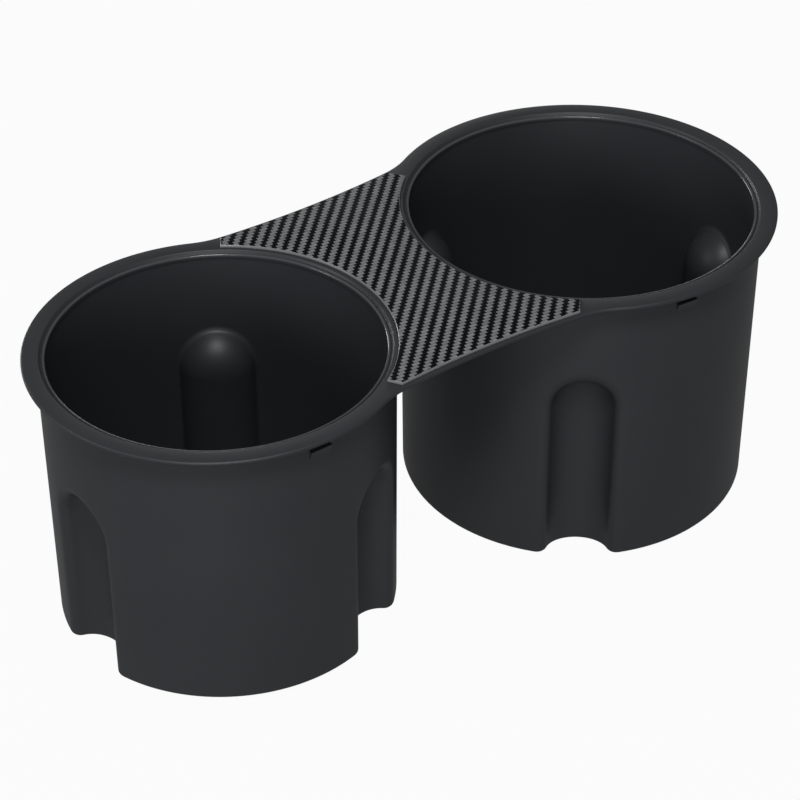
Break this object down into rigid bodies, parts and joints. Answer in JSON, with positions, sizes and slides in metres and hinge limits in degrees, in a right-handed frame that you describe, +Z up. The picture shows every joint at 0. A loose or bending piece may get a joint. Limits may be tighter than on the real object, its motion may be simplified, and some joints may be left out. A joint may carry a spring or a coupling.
{
  "type": "cup holder insert",
  "caption": "Drop-in console insert: round cups of unlike size hung from one flange and joined by a web with a patterned trim panel.",
  "frame": {"origin": "under the middle of the outline, at the level of the deeper cup's base", "axes": "+Z up through the cups' mouths, +X from the small cup to the large one"},
  "size_m": [0.2118, 0.1026, 0.083],
  "materials": {
    "moulded_body": "fine matt grain, charcoal black",
    "twill_panel": "woven twill pattern in dark grey and black under a clear gloss coat"
  },
  "bodies": {
    "root": {"cup_body": "moulded_body", "trim_panel": "twill_panel"}
  },
  "joints": []
}
